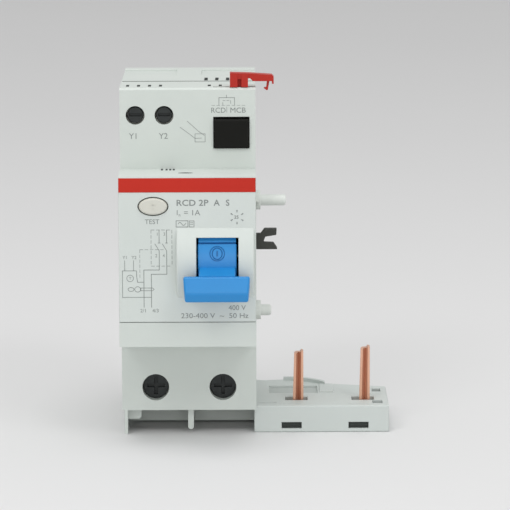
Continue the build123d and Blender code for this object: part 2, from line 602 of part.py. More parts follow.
PIECES = {
    "front_case": front_case(),
    "rear_case": rear_case(),
    "front_plate": front_plate(),
    "stripe": stripe(),
    "case_screws": case_screws(),
    "toggle": toggle(),
    "toggle_pin": toggle_pin(),
    "toggle_spring": toggle_spring(),
    "spring_post": spring_post(),
    "reset_link": reset_link(),
    "trip_lever": trip_lever(),
    "trip_shaft": trip_shaft(),
    "trip_spring": trip_spring(),
    "latch_lever": latch_lever(),
    "latch_pin": latch_pin(),
    "relay_body": relay_body(),
    "relay_plunger": relay_plunger(),
    "test_button": test_button(),
    "test_spring": test_spring(),
    "test_contact": test_contact(),
    "lock_key": lock_key(),
    "lock_spring": lock_spring(),
    "coupling_slider": coupling_slider(),
    "coupling_pin_upper": coupling_pin(PIN_UPPER_Z, 25.4),
    "coupling_pin_lower": coupling_pin(PIN_LOWER_Z, 21.5),
    "terminal_screw_left": terminal_screw(-POLE_X),
    "terminal_screw_right": terminal_screw(POLE_X),
    "lift_cage_left": lift_cage(-POLE_X),
    "lift_cage_right": lift_cage(POLE_X),
    "terminal_plate_left": terminal_plate(-POLE_X, RISE_LEFT),
    "terminal_plate_right": terminal_plate(POLE_X, RISE_RIGHT),
    "lead_left": lead(STUB_X[0], -25.5, [(RISE_LEFT[0], -25.5), RISE_LEFT]),
    "lead_right": lead(STUB_X[1], -20.5, [(9.0, -20.5), (9.0, RISE_RIGHT[1]), RISE_RIGHT]),
    "copper_stub_left": copper_stub(STUB_X[0], STUB_TOP[0]),
    "copper_stub_right": copper_stub(STUB_X[1], STUB_TOP[1]),
    "ring_core": ring_core(),
    "ring_winding": ring_winding(),
    "circuit_board": circuit_board(),
    "board_posts": board_posts(),
    "capacitor": capacitor(),
    "test_resistor": test_resistor(),
    "varistor": varistor(),
    "remote_screw_1": remote_screw(REMOTE_X[0]),
    "remote_screw_2": remote_screw(REMOTE_X[1]),
    "remote_clamp_1": remote_clamp(REMOTE_X[0]),
    "remote_clamp_2": remote_clamp(REMOTE_X[1]),
    "remote_contacts": remote_contacts(),
    "phase_barrier": phase_barrier(),
    "foot_cover": foot_cover(),
    "foot_base": foot_base(),
    "rail_clip": rail_clip(),
    "clip_spring": clip_spring(),
}

os.makedirs("parts", exist_ok=True)
for name, piece in PIECES.items():
    export_step(piece, f"parts/{name}.step")
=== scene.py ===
import bmesh
import bpy
import math
from mathutils import Matrix, Vector


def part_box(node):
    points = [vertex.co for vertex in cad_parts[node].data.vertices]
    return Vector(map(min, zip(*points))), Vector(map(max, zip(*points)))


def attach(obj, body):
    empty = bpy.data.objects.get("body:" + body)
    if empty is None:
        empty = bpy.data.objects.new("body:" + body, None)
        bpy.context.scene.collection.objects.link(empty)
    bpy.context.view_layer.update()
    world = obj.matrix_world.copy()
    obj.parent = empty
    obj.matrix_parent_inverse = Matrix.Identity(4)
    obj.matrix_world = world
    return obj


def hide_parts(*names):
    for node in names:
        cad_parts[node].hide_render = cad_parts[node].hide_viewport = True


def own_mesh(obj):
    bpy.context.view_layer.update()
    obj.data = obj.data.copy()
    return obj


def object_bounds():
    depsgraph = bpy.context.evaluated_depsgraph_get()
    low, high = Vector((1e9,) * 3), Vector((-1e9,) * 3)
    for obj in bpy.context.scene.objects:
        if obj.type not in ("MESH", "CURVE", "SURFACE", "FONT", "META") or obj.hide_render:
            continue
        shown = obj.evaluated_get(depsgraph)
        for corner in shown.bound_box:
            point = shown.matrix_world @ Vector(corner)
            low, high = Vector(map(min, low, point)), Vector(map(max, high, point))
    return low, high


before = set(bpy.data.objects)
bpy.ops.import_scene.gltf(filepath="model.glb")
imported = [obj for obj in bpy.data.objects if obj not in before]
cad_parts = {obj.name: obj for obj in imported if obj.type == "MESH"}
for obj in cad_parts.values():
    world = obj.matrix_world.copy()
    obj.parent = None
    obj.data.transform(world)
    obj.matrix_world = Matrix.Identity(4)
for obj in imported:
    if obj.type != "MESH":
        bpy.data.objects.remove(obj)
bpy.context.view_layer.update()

# Rear case half: one light grey polycarbonate moulding with the rail seat in its back. The mould
# rounds its long outer corners, so a copy of the CAD shell is merged and those edges are bevelled.
MM = 0.001


def merged(node):
    """Bmesh copy of a CAD node in millimetres, with doubled points joined and flat areas made whole."""
    bm = bmesh.new()
    bm.from_mesh(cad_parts[node].data)
    bmesh.ops.scale(bm, vec=(1 / MM, 1 / MM, 1 / MM), verts=bm.verts)
    bmesh.ops.remove_doubles(bm, verts=bm.verts, dist=0.002)
    bmesh.ops.dissolve_limit(bm, angle_limit=math.radians(0.4), verts=bm.verts, edges=bm.edges,
                             use_dissolve_boundaries=False, delimit=set())
    return bm


def soften(bm, width, wanted, segments=2, least=25):
    """Bevels the edges sharper than `least` degrees that the test `wanted` accepts."""
    bm.normal_update()
    chosen = []
    for edge in bm.edges:
        if len(edge.link_faces) == 2 and edge.calc_face_angle(0) > math.radians(least):
            if wanted(edge.verts[0].co, edge.verts[1].co, edge):
                chosen.append(edge)
    if chosen:
        bmesh.ops.bevel(bm, geom=chosen, offset=width, offset_type="OFFSET", segments=segments,
                        profile=0.5, affect="EDGES", clamp_overlap=True, material=-1)


def piece(name, bm, body, nodes=(), smooth=30):
    """Makes the bmesh, given in millimetres, a finished object that rides on a body."""
    bmesh.ops.remove_doubles(bm, verts=bm.verts, dist=0.002)
    bmesh.ops.dissolve_degenerate(bm, dist=0.001, edges=bm.edges)
    bmesh.ops.scale(bm, vec=(MM, MM, MM), verts=bm.verts)
    mesh = bpy.data.meshes.new(name)
    bm.to_mesh(mesh)
    bm.free()
    mesh.shade_smooth()
    mesh.set_sharp_from_angle(angle=math.radians(smooth))
    obj = bpy.data.objects.new(name, mesh)
    bpy.context.scene.collection.objects.link(obj)
    even = obj.modifiers.new("even_shading", "WEIGHTED_NORMAL")
    even.keep_sharp = True
    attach(obj, body)
    if nodes:
        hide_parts(*nodes)
    return obj


def tone(red, green, blue):
    """Linear colour from an everyday 0 to 255 colour."""
    parts = [value / 255 for value in (red, green, blue)]
    linear = [p / 12.92 if p <= 0.04045 else ((p + 0.055) / 1.055) ** 2.4 for p in parts]
    return (*linear, 1.0)


def surface(name, light, dark, rough=(0.4, 0.55), metal=0.0, cloud=90.0, grain=4200.0, depth=0.004,
            stretch=(1, 1, 1), shine=0.5):
    """Material whose colour drifts between two close tones, with a fine grain in its relief and gloss."""
    material = bpy.data.materials.new(name)
    material.use_nodes = True
    nodes, links = material.node_tree.nodes, material.node_tree.links
    shader = nodes["Principled BSDF"]
    shader.inputs["Metallic"].default_value = metal
    shader.inputs["Specular IOR Level"].default_value = shine
    place = nodes.new("ShaderNodeTexCoord")
    turn = nodes.new("ShaderNodeMapping")
    turn.inputs["Scale"].default_value = stretch
    links.new(place.outputs["Object"], turn.inputs["Vector"])
    drift, fine = nodes.new("ShaderNodeTexNoise"), nodes.new("ShaderNodeTexNoise")
    for noise, scale, detail in ((drift, cloud, 4.0), (fine, grain, 2.0)):
        noise.inputs["Scale"].default_value = scale
        noise.inputs["Detail"].default_value = detail
        links.new(turn.outputs["Vector"], noise.inputs["Vector"])
    mix = nodes.new("ShaderNodeMix")
    mix.name = "tones"
    mix.data_type = "RGBA"
    mix.inputs["A"].default_value = light
    mix.inputs["B"].default_value = dark
    links.new(drift.outputs["Fac"], mix.inputs["Factor"])
    links.new(mix.outputs["Result"], shader.inputs["Base Color"])
    gloss = nodes.new("ShaderNodeMapRange")
    gloss.inputs["To Min"].default_value = rough[0]
    gloss.inputs["To Max"].default_value = rough[1]
    links.new(fine.outputs["Fac"], gloss.inputs["Value"])
    links.new(gloss.outputs["Result"], shader.inputs["Roughness"])
    bump = nodes.new("ShaderNodeBump")
    bump.inputs["Strength"].default_value = 0.5
    bump.inputs["Distance"].default_value = depth * MM
    links.new(fine.outputs["Fac"], bump.inputs["Height"])
    links.new(bump.outputs["Normal"], shader.inputs["Normal"])
    return material


def paint(material, *objects):
    """Gives each object the one material."""
    for obj in objects:
        obj.data.materials.clear()
        obj.data.materials.append(material)


def convex(least=0.0):
    """Test for convex edges longer than that many millimetres."""
    return lambda a, b, edge: edge.is_convex and (a - b).length > least


def long_outer(node, least):
    """Test for convex edges at least that long that lie on the outside of the node's box."""
    low, high = (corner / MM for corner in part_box(node))

    def test(a, b, edge):
        middle = (a + b) / 2
        outside = any(abs(middle[i] - low[i]) < 0.02 or abs(middle[i] - high[i]) < 0.02 for i in range(3))
        return outside and edge.is_convex and (a - b).length >= least
    return test


case_grey = surface("case_grey", tone(204, 210, 205), tone(197, 204, 199), rough=(0.45, 0.58))
rear = merged("rear_case")
soften(rear, 0.3, long_outer("rear_case", 6.0))
paint(case_grey, piece("rear_shell", rear, "case", ["rear_case"]))

# Front case half: a moulding of the same light grey plastic, with shoulders and nose. Its screw holes
# have a softened rim, and the nose's and shoulder's lower edges are rounded more than the others.
SHOULDER_Y = -44.0
NOSE_Y = -60.0
POLE_X = 8.75
TERMINAL_Z = -35.6
REMOTE_X = (-13.47, -6.04)
REMOTE_Z = 35.8


def hole_rim(a, b, edge):
    """Front rims of the round screw holes."""
    if abs(a.y - SHOULDER_Y) > 0.6 or abs(b.y - SHOULDER_Y) > 0.6 or not edge.is_convex:
        return False
    holes = [(x, TERMINAL_Z, 3.5) for x in (-POLE_X, POLE_X)] + [(x, REMOTE_Z, 2.43) for x in REMOTE_X]
    return any(abs(math.hypot(p.x - x, p.z - z) - r) < 0.05 for p in (a, b) for x, z, r in holes)


def lower_lip(a, b, edge):
    """Long lower front edges of the nose and of the lower shoulder."""
    on_nose = all(abs(p.y - NOSE_Y) < 0.02 and abs(p.z + 21.7) < 0.02 for p in (a, b))
    on_shoulder = all(p.y < -43 and abs(p.z + 41.7) < 0.02 for p in (a, b))
    return (on_nose or on_shoulder) and (a - b).length > 6 and edge.is_convex


front = merged("front_case")
soften(front, 0.25, hole_rim)
soften(front, 0.6, lower_lip, segments=4)
soften(front, 0.28, long_outer("front_case", 6.0))
paint(case_grey, piece("front_shell", front, "case", ["front_case"]))

# Four case screws: zinc-plated steel, driven from the back into the front half's posts, with a
# cross recess in each round head.
zinc = surface("zinc_steel", tone(196, 196, 190), tone(160, 162, 158), rough=(0.28, 0.42), metal=1.0,
               cloud=400.0, grain=9000.0, depth=0.003)
screws = merged("case_screws")
soften(screws, 0.18, lambda a, b, edge: edge.is_convex and min(a.y, b.y) > 0.4, least=40)
paint(zinc, piece("case_screw_set", screws, "case", ["case_screws"]))

# Nose plate: a thin moulding snapped on the nose, with the round swelling that guards the toggle.
# Its window has a crisp rounded rim, and the swelling runs out into the flat in a soft hollow.
PIVOT_Y = -49.0


def window_rim(a, b, edge):
    """Rim of the toggle window on the outside of the swelling."""
    outside = min(math.hypot(p.y - PIVOT_Y, p.z) for p in (a, b)) > 14.1
    in_window = all(2.2 < p.x < 13.1 and abs(p.z) < 6.8 for p in (a, b))
    return outside and in_window and edge.is_convex


def swelling_end(a, b, edge):
    """Arched outer edges of the swelling's two ends."""
    at_end = any(all(abs(p.x - end) < 0.02 for p in (a, b)) for end in (-2.8, 17.05))
    return at_end and edge.is_convex and min(a.y, b.y) < NOSE_Y - 0.05


def swelling_foot(a, b, edge):
    """Line where the swelling leaves the flat of the plate."""
    return all(abs(p.y - NOSE_Y) < 0.02 for p in (a, b)) and not edge.is_convex


def plate_border(a, b, edge):
    """Outer front edges of the plate."""
    on_front = all(abs(p.y - NOSE_Y) < 0.02 for p in (a, b)) and (a - b).length > 6
    return on_front and edge.is_convex and max(abs(a.x), abs(b.x)) > 17.3


plate_grey = surface("plate_grey", tone(206, 212, 208), tone(199, 206, 202), rough=(0.42, 0.54))
plate = merged("front_plate")
soften(plate, 0.22, window_rim, segments=3)
soften(plate, 0.55, swelling_end, segments=5)
soften(plate, 0.5, swelling_foot, segments=5)
soften(plate, 0.15, plate_border)
paint(plate_grey, piece("nose_plate", plate, "case", ["front_plate"], smooth=38))

# Stripe: a strip of signal-red film across the top of the nose. It is pressed into a shallow rebate,
# so its cut edges are only just broken.
stripe_red = surface("stripe_red", tone(190, 42, 27), tone(183, 38, 24), rough=(0.4, 0.52), shine=0.2)
stripe = merged("stripe")
soften(stripe, 0.04, convex())
paint(stripe_red, piece("stripe_film", stripe, "case", ["stripe"]))

# Printed marks on the nose and the upper shoulder: pad-printed grey ink, a few hundredths of a
# millimetre thick. Only generic words, terminal marks and wiring symbols are printed.
INK = 0.03


def stroke(bm, points, width, face_y=NOSE_Y):
    """Inked line through (x, z) points on the face at that y, one thin bar for each run."""
    for (x1, z1), (x2, z2) in zip(points, points[1:]):
        run = Vector((x2 - x1, 0, z2 - z1))
        across = Vector((-run.z, 0, run.x)).normalized() * width / 2
        place = Matrix((run + run.normalized() * width * 0.5, Vector((0, INK, 0)), 2 * across)).transposed()
        made = bmesh.ops.create_cube(bm, size=1.0)["verts"]
        bmesh.ops.transform(bm, matrix=place.to_4x4(), verts=made)
        middle = Vector(((x1 + x2) / 2, face_y - INK / 2, (z1 + z2) / 2))
        bmesh.ops.translate(bm, vec=middle, verts=made)


def dashes(bm, start, end, width, face_y=NOSE_Y):
    """Broken inked line between two (x, z) points, in dashes near 0.9 mm with gaps near 0.5 mm."""
    run = Vector(end) - Vector(start)
    count = max(1, round((run.length + 0.5) / 1.4))
    step = run / count
    for index in range(count):
        low = Vector(start) + step * index
        high = low + step * 0.9 / 1.4
        stroke(bm, [tuple(low), tuple(high)], width, face_y)


def loop_line(bm, centre, radii, width):
    """Inked oval on the nose round an (x, z) centre."""
    turns = [2 * math.pi * index / 20 for index in range(21)]
    points = [(centre[0] + radii[0] * math.cos(t), centre[1] + radii[1] * math.sin(t)) for t in turns]
    stroke(bm, points, width)


def letters(bm, text, x, z, tall, face_y=NOSE_Y, wide=1.0, bold=0.0):
    """Words whose first letter stands at (x, z) on the face at that y, with capitals `tall` high."""
    curve = bpy.data.curves.new("letters", "FONT")
    curve.body = text
    curve.size = tall / 0.73
    curve.resolution_u = 3
    curve.offset = bold
    curve.extrude = INK / 2
    holder = bpy.data.objects.new("letters", curve)
    bpy.context.scene.collection.objects.link(holder)
    flat = holder.evaluated_get(bpy.context.evaluated_depsgraph_get())
    mesh = bpy.data.meshes.new_from_object(flat)
    bpy.data.objects.remove(holder)
    place = Matrix(((wide, 0, 0, x), (0, 0, -1, face_y - INK / 2), (0, 1, 0, z), (0, 0, 0, 1)))
    mesh.transform(place)
    bm.from_mesh(mesh)
    bpy.data.meshes.remove(mesh)


marks = bmesh.new()
letters(marks, "RCD 2P", -2.8, 14.75, 1.6, wide=1.12, bold=0.03)
letters(marks, "A", 6.8, 14.75, 1.6, bold=0.03)
letters(marks, "S", 9.8, 14.75, 1.6, bold=0.03)
letters(marks, "I", -2.75, 12.35, 1.4)
letters(marks, "n", -2.2, 12.0, 0.9, wide=0.9)
letters(marks, "= 1A", -0.9, 12.3, 1.45, wide=1.05)
stroke(marks, [(-2.8, 10.9), (0.2, 10.9), (0.2, 9.3), (-2.8, 9.3), (-2.8, 10.9)], 0.16)
stroke(marks, [(-2.3 + 0.22 * i, 10.1 + 0.4 * math.sin(i * 0.75)) for i in range(10)], 0.14)
stroke(marks, [(0.55, 10.85), (1.75, 10.85), (1.75, 9.3), (0.55, 9.3), (0.55, 10.85)], 0.14)
stroke(marks, [(0.75, 10.4), (1.5, 10.4)], 0.12)
stroke(marks, [(0.75, 9.95), (1.5, 9.95)], 0.12)
for index in range(6):
    flake = []
    for reach, lean in ((1.2, 0), (1.85, 0), (1.3, 0), (1.75, -0.08), (1.75, 0.08)):
        turn = math.radians(60 * index + 30) + lean
        flake.append((12.66 + reach * math.cos(turn), 11.8 + reach * math.sin(turn)))
    root, tip, fork, left, right = flake
    stroke(marks, [root, tip], 0.12)
    stroke(marks, [fork, left], 0.1)
    stroke(marks, [fork, right], 0.1)
letters(marks, "25", 11.95, 11.4, 0.85, bold=0.02)
letters(marks, "TEST", -10.75, 10.1, 1.25)
dashes(marks, (-9.2, 8.55), (-3.9, 8.55), 0.12)
dashes(marks, (-9.2, 8.55), (-9.2, -0.75), 0.12)
dashes(marks, (-3.9, 8.55), (-3.9, -0.75), 0.12)
dashes(marks, (-9.2, -0.75), (-3.9, -0.75), 0.12)
for x, knee, low in ((-7.15, -1.75, -11.1), (-5.25, -2.85, -9.2)):
    stroke(marks, [(x, 8.5), (x, 5.2)], 0.16)
    stroke(marks, [(x, 5.2), (x - 0.3, 5.2), (x + 0.3, 5.2)], 0.12)
    stroke(marks, [(x - 1.1, 5.0), (x, 3.2)], 0.14)
    stroke(marks, [(x, 3.2), (x, knee), (low, knee), (low, -11.4)], 0.16)
dashes(marks, (-12.1, 3.5), (-5.6, 3.5), 0.1)
dashes(marks, (-12.1, 3.5), (-12.1, -4.2), 0.1)
for x, z, word in ((-7.9, 7.1, "1"), (-6.1, 7.1, "3"), (-8.2, 1.55, "2"), (-6.3, 1.55, "4")):
    letters(marks, word, x, z, 0.85)
letters(marks, "2/1", -12.1, -12.7, 0.95)
letters(marks, "4/3", -9.0, -12.7, 0.95)
letters(marks, "Y1", -16.5, 1.1, 0.85)
letters(marks, "Y2", -14.2, 1.1, 0.85)
stroke(marks, [(-15.95, 0.7), (-15.95, -1.95)], 0.13)
stroke(marks, [(-13.7, 0.7), (-13.7, -1.95)], 0.13)
stroke(marks, [(-12.95, -3.3), (-12.95, -1.95), (-16.55, -1.95), (-16.55, -8.8)], 0.14)
stroke(marks, [(-16.55, -8.8), (-9.2, -8.8)], 0.14)
stroke(marks, [(-12.95, -3.3), (-12.7, -4.9), (-11.1, -4.9)], 0.14)
loop_line(marks, (-14.6, -3.9), (0.85, 0.85), 0.12)
letters(marks, "T", -14.9, -4.25, 0.75)
loop_line(marks, (-14.4, -6.75), (0.75, 0.5), 0.12)
loop_line(marks, (-12.7, -6.75), (0.75, 0.7), 0.12)
stroke(marks, [(-11.9, -6.4), (-8.9, -6.4), (-8.5, -6.75), (-8.9, -7.1), (-11.9, -7.1), (-11.9, -6.4)], 0.13)
letters(marks, "400 V", 10.4, -12.2, 1.35)
letters(marks, "230-400 V  ~  50 Hz", -1.75, -14.25, 1.35, wide=1.12)
ink_grey = surface("ink_grey", tone(112, 118, 116), tone(140, 146, 143), rough=(0.5, 0.6), cloud=900.0)
paint(ink_grey, piece("nose_print", marks, "case"))

marks = bmesh.new()
for x, word in ((-15.1, "Y1"), (-7.4, "Y2")):
    letters(marks, word, x, 29.75, 1.55, face_y=SHOULDER_Y)
stroke(marks, [(8.1, 38.35), (8.1, 40.35), (12.1, 40.35), (12.1, 38.35)], 0.13, SHOULDER_Y)
stroke(marks, [(10.05, 40.35), (10.05, 41.05)], 0.13, SHOULDER_Y)
dashes(marks, (9.1, 38.35), (9.1, 39.6), 0.11, face_y=SHOULDER_Y)
dashes(marks, (9.1, 39.6), (11.1, 39.6), 0.11, face_y=SHOULDER_Y)
dashes(marks, (11.1, 39.6), (11.1, 38.35), 0.11, face_y=SHOULDER_Y)
dashes(marks, (6.2, 38.35), (15.3, 38.35), 0.08, face_y=SHOULDER_Y)
letters(marks, "RCD", 5.95, 36.45, 1.4, face_y=SHOULDER_Y)
letters(marks, "MCB", 10.9, 36.45, 1.4, face_y=SHOULDER_Y, wide=1.05)
stroke(marks, [(10.1, 36.5), (10.1, 38.0)], 0.1, SHOULDER_Y)
stroke(marks, [(-0.1, 34.3), (3.0, 31.5), (4.3, 30.6)], 0.12, SHOULDER_Y)
stroke(marks, [(-1.9, 32.7), (1.2, 30.4), (1.9, 29.8), (3.6, 29.9)], 0.12, SHOULDER_Y)
stroke(marks, [(1.9, 31.0), (4.5, 31.0), (4.5, 28.9), (1.9, 28.9), (1.9, 31.0)], 0.12, SHOULDER_Y)
paint(ink_grey, piece("shoulder_print", marks, "case"))

# Nose top: four narrow vents in the corner under the shoulder and a shallow finger notch above the
# stripe, both moulded with the front half. Each holds a dark lining of painted shade, for the shade in them.


def brick(bm, x, y, z):
    """Closed box between three (low, high) pairs."""
    made = bmesh.ops.create_cube(bm, size=1.0)["verts"]
    bmesh.ops.scale(bm, vec=(x[1] - x[0], y[1] - y[0], z[1] - z[0]), verts=made)
    bmesh.ops.translate(bm, vec=(sum(x) / 2, sum(y) / 2, sum(z) / 2), verts=made)


vents = bmesh.new()
for x in (-6.65, -5.45, -4.5, -3.6):
    brick(vents, (x - 0.26, x + 0.26), (SHOULDER_Y - 2.6, SHOULDER_Y - 0.1), (21.7, 21.93))
notch = bmesh.ops.create_uvsphere(vents, u_segments=24, v_segments=8, radius=1.0)["verts"]
bmesh.ops.scale(vents, vec=(1.95, 0.75, 0.05), verts=notch)
bmesh.ops.translate(vents, vec=(-0.5, -51.3, 21.9), verts=notch)
# The dark grey of these linings is painted shade for the inside of the gaps; on the parting line it is the
# dark joint itself.
gap_shade_and_joint = surface("gap_shade_and_joint", tone(54, 58, 56), tone(42, 46, 44), rough=(0.7, 0.85), shine=0.2)
paint(gap_shade_and_joint, piece("nose_vents", vents, "case"))

# Top vents and parting line: a dark lining of painted shade stands in each slot of the top face and in
# the slider's guide slot, and a thin dark joint runs round the case where its two halves are pressed
# together.
SPLIT_Y = -29.5
TOP_Z = 42.9
strips = bmesh.new()
rows = [(-15.5 + index * 2.83, -40.9, -36.9) for index in range(4)]
rows += [(5.6, -40.4, -36.9), (8.43, -40.4, -36.9)]
rows += [(4.6 + index * 2.83, -27.7, -21.3) for index in range(3)]
for x, near, far in rows:
    brick(strips, (x - 0.39, x + 0.39), (near + 0.02, far - 0.02), (TOP_Z - 0.5, TOP_Z - 0.02))
for sign in (-1, 1):
    brick(strips, sorted((sign * 17.48, sign * 17.1)), (SPLIT_Y - 0.05, SPLIT_Y + 0.05), (-41.0, TOP_Z - 0.3))
brick(strips, (-17.2, 17.2), (SPLIT_Y - 0.15, SPLIT_Y + 0.15), (TOP_Z - 0.5, TOP_Z + 0.08))
brick(strips, (11.2, 17.3), (-42.3, -41.2), (TOP_Z - 1.0, TOP_Z - 0.25))
paint(gap_shade_and_joint, piece("slot_shade_and_joint", strips, "case"))

# Toggle: one blue polyamide moulding, a hollow drum with a wide paddle on a short neck. The drum ends
# in a short step at the top of the window, and a bar inside an oval and a ring is raised on it.


def wire(bm, points, radius, sides=8, closed=False):
    """Round wire of that radius through the points, in millimetres."""
    stations = [Vector(point) for point in points]
    count = len(stations)
    frames = []
    facing = None
    for index, here in enumerate(stations):
        before = stations[index - 1] if index or closed else here
        after = stations[(index + 1) % count] if index < count - 1 or closed else here
        along = (after - before).normalized()
        if facing is None:
            turn = along.to_track_quat("Z", "Y")
        else:
            turn = facing[0].rotation_difference(along) @ facing[1]
        facing = (along, turn)
        frames.append(Matrix.Translation(here) @ turn.to_matrix().to_4x4())
    ring = bmesh.ops.create_circle(bm, segments=sides, radius=radius, matrix=frames[0])["verts"]
    edges = list(dict.fromkeys(edge for vert in ring for edge in vert.link_edges))
    first = edges
    for last, now in zip(frames, frames[1:]):
        grown = bmesh.ops.extrude_edge_only(bm, edges=edges)["geom"]
        verts = {item for item in grown if isinstance(item, bmesh.types.BMVert)}
        edges = [item for item in grown if isinstance(item, bmesh.types.BMEdge)
                 and verts.issuperset(item.verts)]
        bmesh.ops.transform(bm, matrix=now @ last.inverted(), verts=list(verts))
    if closed:
        bmesh.ops.bridge_loops(bm, edges=first + edges)
    else:
        bmesh.ops.edgeloop_fill(bm, edges=first)
        bmesh.ops.edgeloop_fill(bm, edges=edges)


def outward(bm):
    """Turns every face of closed shapes outward."""
    bmesh.ops.recalc_face_normals(bm, faces=bm.faces)


def join(bm, *others):
    """Adds the other bmeshes to the first one and frees them."""
    for other in others:
        mesh = bpy.data.meshes.new("joined")
        other.to_mesh(mesh)
        other.free()
        bm.from_mesh(mesh)
        bpy.data.meshes.remove(mesh)


def around(radius, degrees):
    """(y, z) of a point round the toggle's pin, measured up from straight ahead."""
    turn = math.radians(degrees)
    return (PIVOT_Y - radius * math.cos(turn), radius * math.sin(turn))


def slab(outline, span):
    """Bmesh of a closed slab with the (y, z) outline, between the pair span of x."""
    bm = bmesh.new()
    face = bm.faces.new([bm.verts.new((span[0], y, z)) for y, z in outline])
    grown = bmesh.ops.extrude_face_region(bm, geom=[face], use_keep_orig=True)["geom"]
    moved = [item for item in grown if isinstance(item, bmesh.types.BMVert)]
    bmesh.ops.translate(bm, vec=(span[1] - span[0], 0, 0), verts=moved)
    outward(bm)
    return bm


def turned(section, span, steps):
    """Bmesh of a section of (x, radius) points swept round the toggle's pin between two angles."""
    bm = bmesh.new()
    face = bm.faces.new([bm.verts.new((x, *around(radius, span[0]))) for x, radius in section])
    whole = span[1] - span[0] == 360
    spun = bmesh.ops.spin(bm, geom=list(face.edges), cent=(0, PIVOT_Y, 0), axis=(-1, 0, 0), dvec=(0, 0, 0),
                          angle=math.radians(span[1] - span[0]), steps=steps, use_merge=whole,
                          use_duplicate=False)
    if whole:
        bm.faces.remove(face)
    else:
        last = [item for item in spun["geom_last"] if isinstance(item, bmesh.types.BMEdge)]
        bmesh.ops.edgeloop_fill(bm, edges=last)
    outward(bm)
    return bm


DRUM_R = 13.0
DRUM_IN_R = 11.2
LEFT, RIGHT = 2.7, 12.5
RIM = 0.18
drum = turned([(LEFT + RIM, DRUM_R), (RIGHT - RIM, DRUM_R), (RIGHT, DRUM_R - RIM), (RIGHT, DRUM_IN_R),
               (LEFT, DRUM_IN_R), (LEFT, DRUM_R - RIM)], (-54, 22.6), 52)
stepped_end = [turned([(LEFT + 0.15, DRUM_IN_R), (RIGHT - 0.15, DRUM_IN_R), (RIGHT - 0.15, radius),
                       (LEFT + 0.15, radius)], span, 8)
               for radius, span in ((12.85, (25, 34)), (12.0, (20, 32)))]
hub = turned([(LEFT, 1.3), (RIGHT, 1.3), (RIGHT, 3.4), (LEFT, 3.4)], (0, 360), 32)
web = slab([around(2.5, 60), around(12, 8), around(12, -30), around(2.5, -90)], (6.2, 9.0))
neck = slab([around(12, -3.5), around(DRUM_R, -3.5), (-67.4, -2.1), (-67.0, -6.6), around(12, -26.5)],
            (LEFT + 0.3, RIGHT - 0.3))
soften(neck, 0.3, lambda a, b, edge: abs(a.x - b.x) < 0.01, segments=3)
paddle = slab([(-64.8, -2.6), (-68.0, -2.25), (-69.0, -6.4), (-67.9, -8.8), (-66.4, -8.9), (-64.2, -6.0)],
              (-1.0, 15.9))
for vert in paddle.verts:
    if vert.co.z < -6.0:
        vert.co.x += 0.42 if vert.co.x < 5 else -0.42
soften(paddle, 0.55, lambda a, b, edge: True, segments=4, least=12)
toggle = bmesh.new()
join(toggle, drum, *stepped_end, hub, web, neck, paddle)


def on_drum(across, up):
    """Point on the drum, so far to the right of and above the middle of its mark."""
    return (7.6 + across, *around(DRUM_R, 12 + math.degrees(up / DRUM_R)))


mark = bmesh.new()
for radii, thick in (((1.85, 1.85), 0.12), ((1.25, 1.45), 0.14)):
    turns = [2 * math.pi * index / 32 for index in range(32)]
    ring = [on_drum(radii[0] * math.cos(turn), radii[1] * math.sin(turn)) for turn in turns]
    wire(mark, ring, thick, sides=6, closed=True)
wire(mark, [on_drum(0, up) for up in (-0.7, -0.35, 0.0, 0.35, 0.7)], 0.22, sides=6)
outward(mark)
# The mark's darker blue is painted shade; the real mark is moulded in the toggle's own blue plastic.
mark_groove_shade = surface("mark_groove_shade", tone(22, 104, 164), tone(19, 96, 154), rough=(0.4, 0.5))
paint(mark_groove_shade, piece("toggle_mark", mark, "toggle", smooth=60))
toggle_blue = surface("toggle_blue", tone(34, 138, 206), tone(29, 129, 197), rough=(0.32, 0.44),
                      depth=0.003)
paint(toggle_blue, piece("toggle_moulding", toggle, "toggle", ["toggle"], smooth=40))

# Reset link: a bent wire of zinc-plated steel. It joins the toggle's drum to the latch carriage
# behind it, and swings with the toggle.
link = merged("reset_link")
soften(link, 0.12, convex(), least=50)
paint(zinc, piece("reset_link_wire", link, "toggle", ["reset_link"]))

# Springs: bright music wire wound on a mandrel. The toggle's and the fork's are torsion springs;
# the button's, the key's and the clip's are pressed along their axes.
spring_wire = surface("spring_wire", tone(188, 186, 178), tone(140, 138, 130), rough=(0.2, 0.32), metal=1.0,
                      cloud=700.0, grain=9000.0, depth=0.002)


def coil(bm, start, axis, length, radius, wire_radius, turns, steps=22, sides=8):
    """Helical spring from the point start, along the axis vector, with closed ends."""
    axis = Vector(axis).normalized()
    out = axis.orthogonal().normalized()
    tangent = axis.cross(out)
    place = Matrix.Translation(Vector(start) + out * radius + axis * wire_radius)
    turn = tangent.to_track_quat("Z", "Y").to_matrix().to_4x4()
    ring = bmesh.ops.create_circle(bm, segments=sides, radius=wire_radius, matrix=place @ turn)["verts"]
    first = list(dict.fromkeys(edge for vert in ring for edge in vert.link_edges))
    count = round(turns * steps)
    pitch = axis * (length - 2 * wire_radius) / count
    spun = bmesh.ops.spin(bm, geom=first, cent=start, axis=axis, dvec=pitch,
                          angle=2 * math.pi * turns, steps=count, use_merge=False, use_duplicate=False)
    last = [item for item in spun["geom_last"] if isinstance(item, bmesh.types.BMEdge)]
    bmesh.ops.edgeloop_fill(bm, edges=first)
    bmesh.ops.edgeloop_fill(bm, edges=last)


def spring(name, node, axis, radius, wire_radius, turns):
    """Coil that fills a CAD node's box along the axis."""
    low, high = (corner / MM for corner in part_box(node))
    middle = (low + high) / 2
    along = Vector(axis)
    start = Vector([low[i] if along[i] else middle[i] for i in range(3)])
    bm = bmesh.new()
    coil(bm, start, axis, (high - low).dot(along), radius, wire_radius, turns)
    outward(bm)
    obj = piece(name, bm, "case", [node], smooth=60)
    paint(spring_wire, obj)
    return obj


